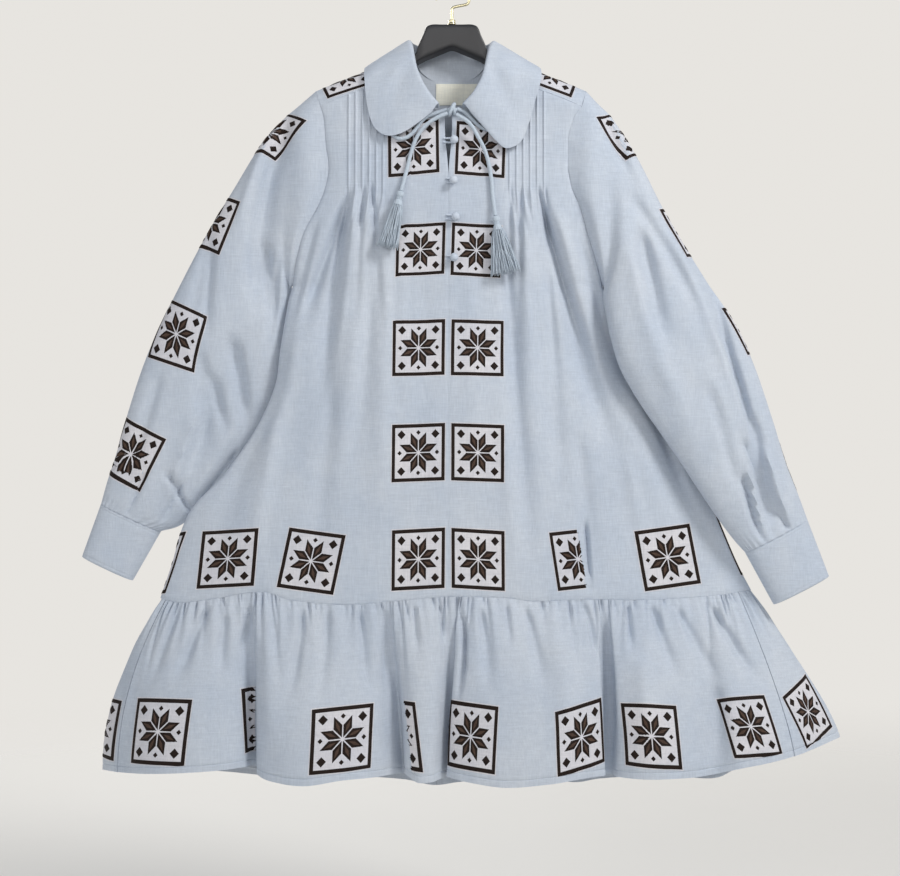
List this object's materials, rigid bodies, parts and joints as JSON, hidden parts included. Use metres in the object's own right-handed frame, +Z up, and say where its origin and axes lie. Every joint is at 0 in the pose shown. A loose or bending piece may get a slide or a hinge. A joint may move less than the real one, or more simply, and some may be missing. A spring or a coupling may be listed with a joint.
{
  "type": "ruffle dress on a hanger",
  "caption": "Loose long-sleeved dress with a rounded collar, tasselled neck tie and deep gathered hem ruffle, hung flat from a hanger by its hook.",
  "frame": {"origin": "the underside of the top of the hook's arc, where the hook rests on a rail", "axes": "+Z up along the dress's height, -Y out of the dress's front, +X to the right as the dress is seen from the front"},
  "size_m": [0.9091, 0.1496, 0.9795],
  "materials": {
    "cloth": "matt woven linen",
    "cord": "matt twisted cord",
    "label_cream": "smooth woven tape",
    "hanger_black": "satin black",
    "hook_gold": "polished pale gold wire"
  },
  "bodies": {
    "root": {"hanger_body": "hanger_black", "hanger_ferrule": "hook_gold", "hanger_hook": "hook_gold", "yoke": "cloth", "front_left": "cloth", "front_right": "cloth", "back": "cloth", "sleeve_left": "cloth", "sleeve_right": "cloth", "cuff_left": "cloth", "cuff_right": "cloth", "ruffle_front": "cloth", "ruffle_back_right": "cloth", "ruffle_back_left": "cloth", "collar": "cloth", "label": "label_cream", "button_1": "cloth", "button_2": "cloth", "button_3": "cloth", "button_4": "cloth", "loop_1": "cloth", "loop_2": "cloth", "loop_3": "cloth", "loop_4": "cloth", "tie_knot": "cord", "tie_run_left": "cord", "tie_run_right": "cord", "tie_tail_left": "cord", "tie_tail_right": "cord", "tassel_left": "cord", "tassel_right": "cord"}
  },
  "joints": []
}
